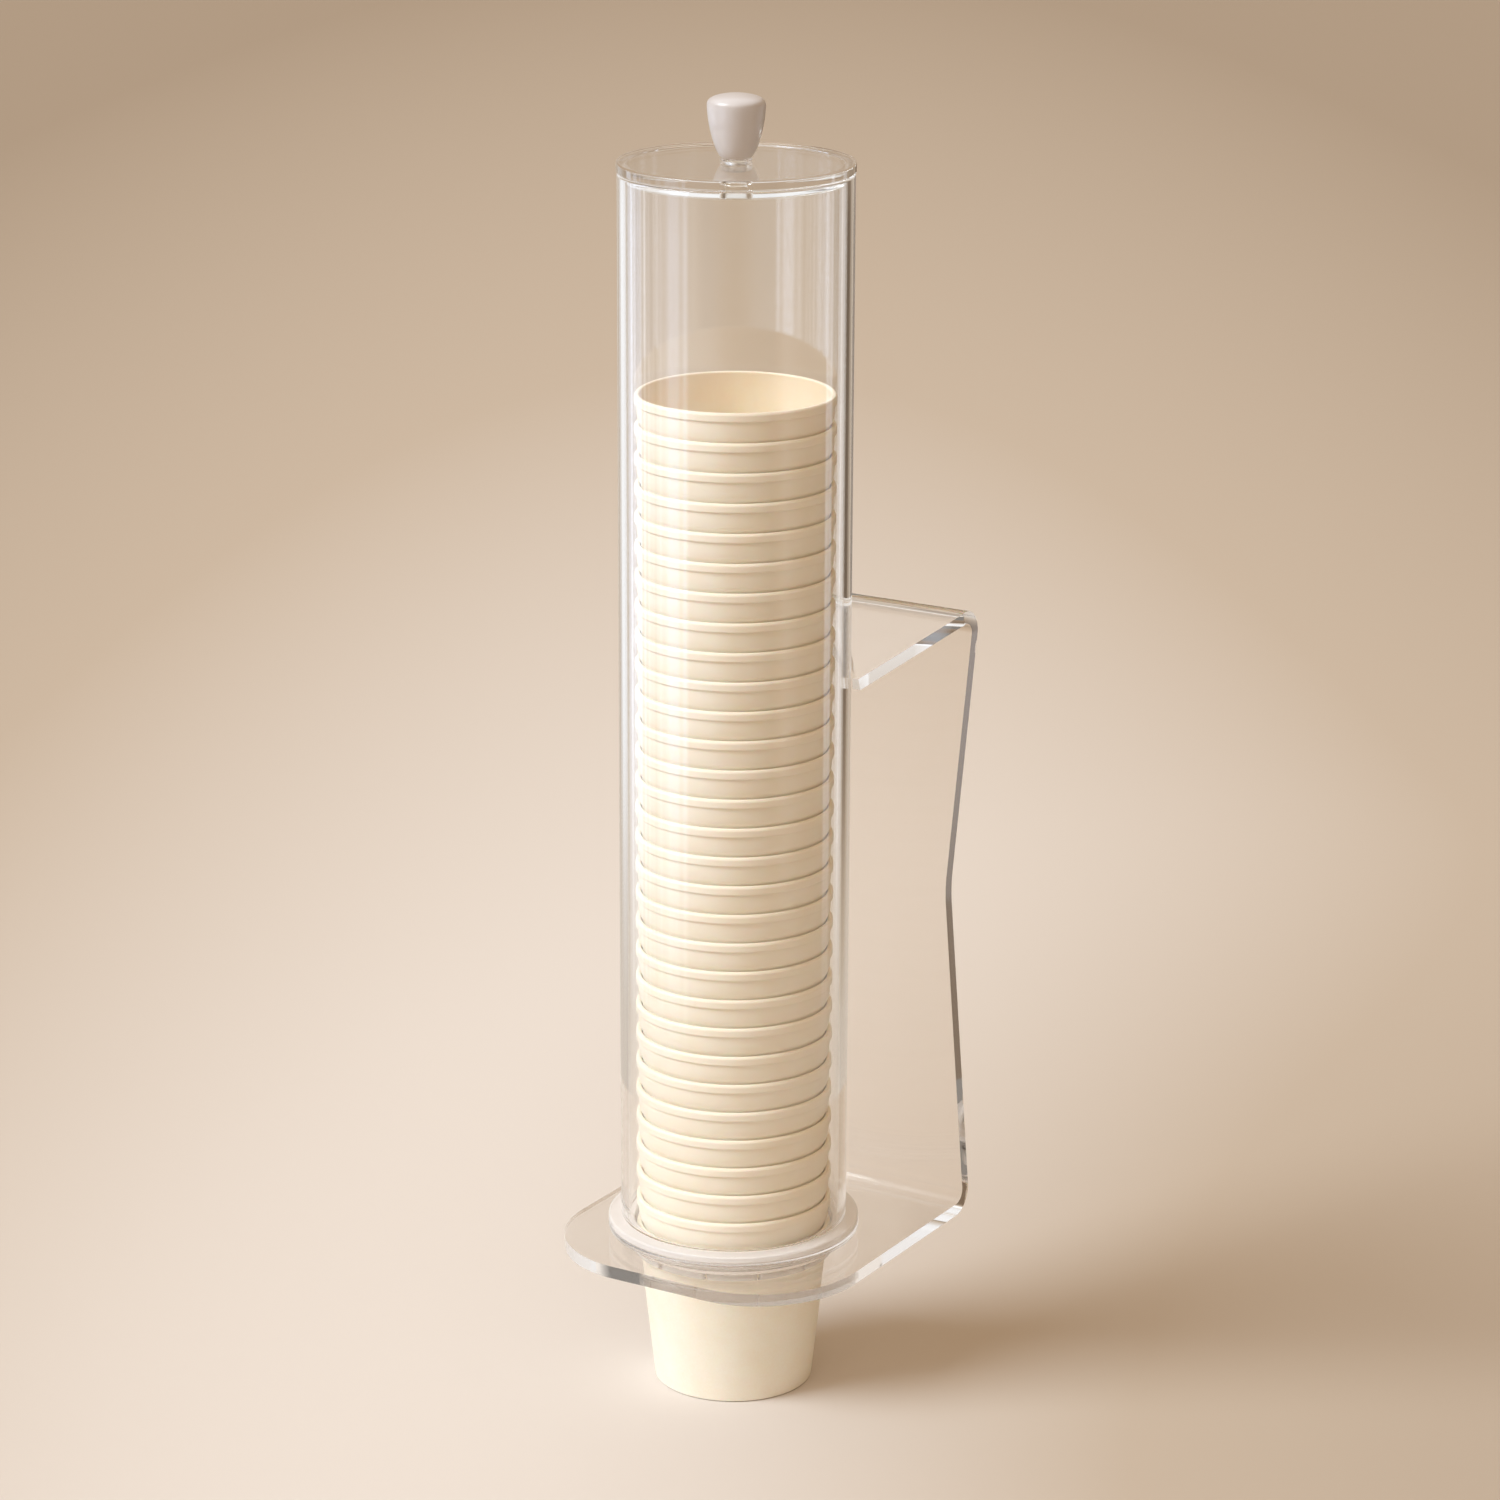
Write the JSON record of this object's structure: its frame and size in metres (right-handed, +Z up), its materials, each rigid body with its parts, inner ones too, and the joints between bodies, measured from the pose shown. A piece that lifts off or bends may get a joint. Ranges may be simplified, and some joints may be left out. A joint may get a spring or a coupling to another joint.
{
  "type": "wall cup dispenser",
  "caption": "Wall-mounted clear tube dispenser that holds a stack of nested paper cups on a bent sheet bracket, with a lift-off lid and a soft ring that lets the bottom cup be pulled out.",
  "frame": {"origin": "centre of the back plate's rear face, where it meets the wall", "axes": "+Y into the wall, +Z up along the tube, +X to the right as seen from the front"},
  "size_m": [0.127, 0.138, 0.5183],
  "materials": {
    "clear_acrylic": "clear, polished",
    "milky_silicone": "milky, satin",
    "white_plastic": "glossy white",
    "cup_paper": "uncoated cream board"
  },
  "bodies": {
    "frame": {"bracket": "clear_acrylic", "base_collar": "clear_acrylic", "cup_stop_ring": "milky_silicone", "tube": "clear_acrylic"},
    "lid": {"lid_disc": "clear_acrylic", "lid_locating_disc": "clear_acrylic", "knob": "white_plastic", "knob_washer": "clear_acrylic", "knob_screw": "clear_acrylic"},
    "cup_stack": {"cup_01": "cup_paper", "cup_02": "cup_paper", "cup_03": "cup_paper", "cup_04": "cup_paper", "cup_05": "cup_paper", "cup_06": "cup_paper", "cup_07": "cup_paper", "cup_08": "cup_paper", "cup_09": "cup_paper", "cup_10": "cup_paper", "cup_11": "cup_paper", "cup_12": "cup_paper", "cup_13": "cup_paper", "cup_14": "cup_paper", "cup_15": "cup_paper", "cup_16": "cup_paper", "cup_17": "cup_paper", "cup_18": "cup_paper", "cup_19": "cup_paper", "cup_20": "cup_paper", "cup_21": "cup_paper", "cup_22": "cup_paper", "cup_23": "cup_paper", "cup_24": "cup_paper", "cup_25": "cup_paper", "cup_26": "cup_paper", "cup_27": "cup_paper", "cup_28": "cup_paper", "cup_29": "cup_paper", "cup_30": "cup_paper"},
    "bottom_cup": {"cup_31": "cup_paper"}
  },
  "joints": [
    {"name": "lid_lift", "type": "slide", "parent": "frame", "child": "lid", "axis": [0, 0, 1], "range_m": [0, 0.06]},
    {"name": "stack_drop", "type": "slide", "parent": "frame", "child": "cup_stack", "axis": [0, 0, -1], "range_m": [0, 0.01162], "deforming": ["cup_stop_ring"]},
    {"name": "cup_pull", "type": "slide", "parent": "frame", "child": "bottom_cup", "axis": [0, 0, -1], "range_m": [0, 0.06972], "deforming": ["cup_stop_ring"]}
  ],
  "couplings": [
    {"joint": "cup_pull", "follows": "stack_drop", "ratio": 6}
  ]
}
